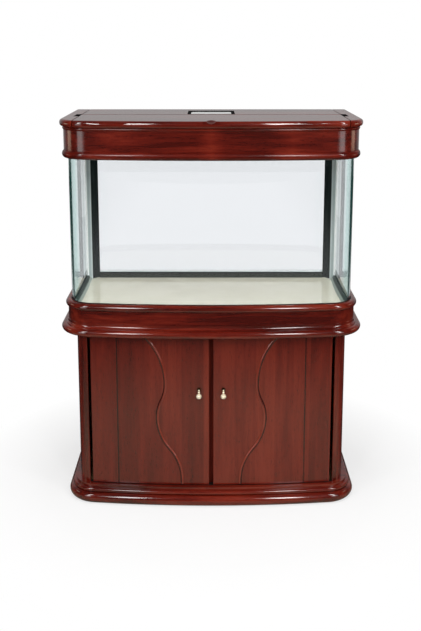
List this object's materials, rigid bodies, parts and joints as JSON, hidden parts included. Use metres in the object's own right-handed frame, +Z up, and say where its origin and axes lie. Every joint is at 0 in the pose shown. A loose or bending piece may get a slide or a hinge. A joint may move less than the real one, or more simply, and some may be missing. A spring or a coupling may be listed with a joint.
{
  "type": "aquarium with cabinet",
  "caption": "Bow-front glass aquarium on a red mahogany cabinet with bowed pivoted doors, drop pulls, rounded mouldings, and a wooden hood with a hinged lid and feeding hatch.",
  "frame": {"origin": "on the floor plane, in the middle of the object's box", "axes": "+X to the right seen from the front, front faces -Y, +Z up"},
  "size_m": [1.022, 0.4999, 1.322],
  "materials": {
    "lacquered_mahogany": "high gloss lacquer over red mahogany veneer",
    "plain_board": "plain unlacquered board",
    "clear_glass": "clear float glass with green edges",
    "black_plastic": "satin black plastic",
    "gloss_flap": "polished pale plastic",
    "pale_sheet": "glossy pale plastic sheet",
    "black_rubber": "black foam and rubber",
    "pale_brass": "polished brass",
    "aged_brass": "darkened brass",
    "steel": "bright plated steel",
    "white_nylon": "white nylon",
    "reflector": "bright sheet aluminium",
    "lamp_glass": "white coated lamp glass"
  },
  "bodies": {
    "stand_tank_and_hood": {"plinth_frame": "lacquered_mahogany", "left_corner_post": "lacquered_mahogany", "right_corner_post": "lacquered_mahogany", "left_side_panel": "lacquered_mahogany", "right_side_panel": "lacquered_mahogany", "tank_base_frame": "lacquered_mahogany", "hood_frame": "lacquered_mahogany", "left_end_board": "lacquered_mahogany", "right_end_board": "lacquered_mahogany", "rear_cover": "lacquered_mahogany", "centre_post": "lacquered_mahogany", "plinth_back_rail": "plain_board", "floor_battens": "plain_board", "cabinet_floor": "plain_board", "back_panel": "plain_board", "cabinet_top": "plain_board", "base_back_rail": "plain_board", "deck_bearers": "plain_board", "tank_deck": "plain_board", "hood_rest_batten": "plain_board", "hood_back_rail": "plain_board", "cover_cleats": "plain_board", "bent_front_glass": "clear_glass", "back_glass": "clear_glass", "bottom_glass": "clear_glass", "left_corner_trim": "black_plastic", "right_corner_trim": "black_plastic", "back_bottom_trim": "black_plastic", "left_slot_liner": "black_plastic", "right_slot_liner": "black_plastic", "hatch_frame": "black_plastic", "light_brackets": "black_plastic", "door_pivot_bushes": "black_plastic", "tank_floor_sheet": "pale_sheet", "tank_mat": "black_rubber", "glass_gasket": "black_rubber", "lid_hinge_fixed_leaves": "steel", "lid_hinge_pins": "steel", "magnetic_catches": "white_nylon", "tube_sockets": "white_nylon", "light_housing": "reflector", "light_tubes": "lamp_glass"},
    "left_door": {"left_door": "lacquered_mahogany", "left_door_bead": "lacquered_mahogany", "left_door_pivots": "steel", "left_strike_plate": "steel", "left_pull_plate": "aged_brass"},
    "right_door": {"right_door": "lacquered_mahogany", "right_door_bead": "lacquered_mahogany", "right_door_pivots": "steel", "right_strike_plate": "steel", "right_pull_plate": "aged_brass"},
    "left_pull": {"left_pull_drop": "pale_brass"},
    "right_pull": {"right_pull_drop": "pale_brass"},
    "lid": {"front_lid": "lacquered_mahogany", "lid_hinge_moving_leaves": "steel"},
    "flap": {"hatch_flap": "gloss_flap"}
  },
  "joints": [
    {"name": "left_door_hinge", "type": "hinge", "parent": "stand_tank_and_hood", "child": "left_door", "pos_m": [-0.398, -0.16715, 0.333], "axis": [0, 0, -1], "range_deg": [0, 100]},
    {"name": "right_door_hinge", "type": "hinge", "parent": "stand_tank_and_hood", "child": "right_door", "pos_m": [0.398, -0.16715, 0.333], "axis": [0, 0, 1], "range_deg": [0, 100]},
    {"name": "left_pull_swing", "type": "hinge", "parent": "left_door", "child": "left_pull", "pos_m": [-0.0415, -0.20925, 0.412], "axis": [-1, 0, 0], "range_deg": [0, 75]},
    {"name": "right_pull_swing", "type": "hinge", "parent": "right_door", "child": "right_pull", "pos_m": [0.0415, -0.20925, 0.412], "axis": [-1, 0, 0], "range_deg": [0, 75]},
    {"name": "lid_hinge", "type": "hinge", "parent": "stand_tank_and_hood", "child": "lid", "pos_m": [0, 0.025, 1.3188], "axis": [-1, 0, 0], "range_deg": [0, 90]},
    {"name": "flap_hinge", "type": "hinge", "parent": "stand_tank_and_hood", "child": "flap", "pos_m": [0, 0.166, 1.319], "axis": [-1, 0, 0], "range_deg": [0, 80]}
  ]
}
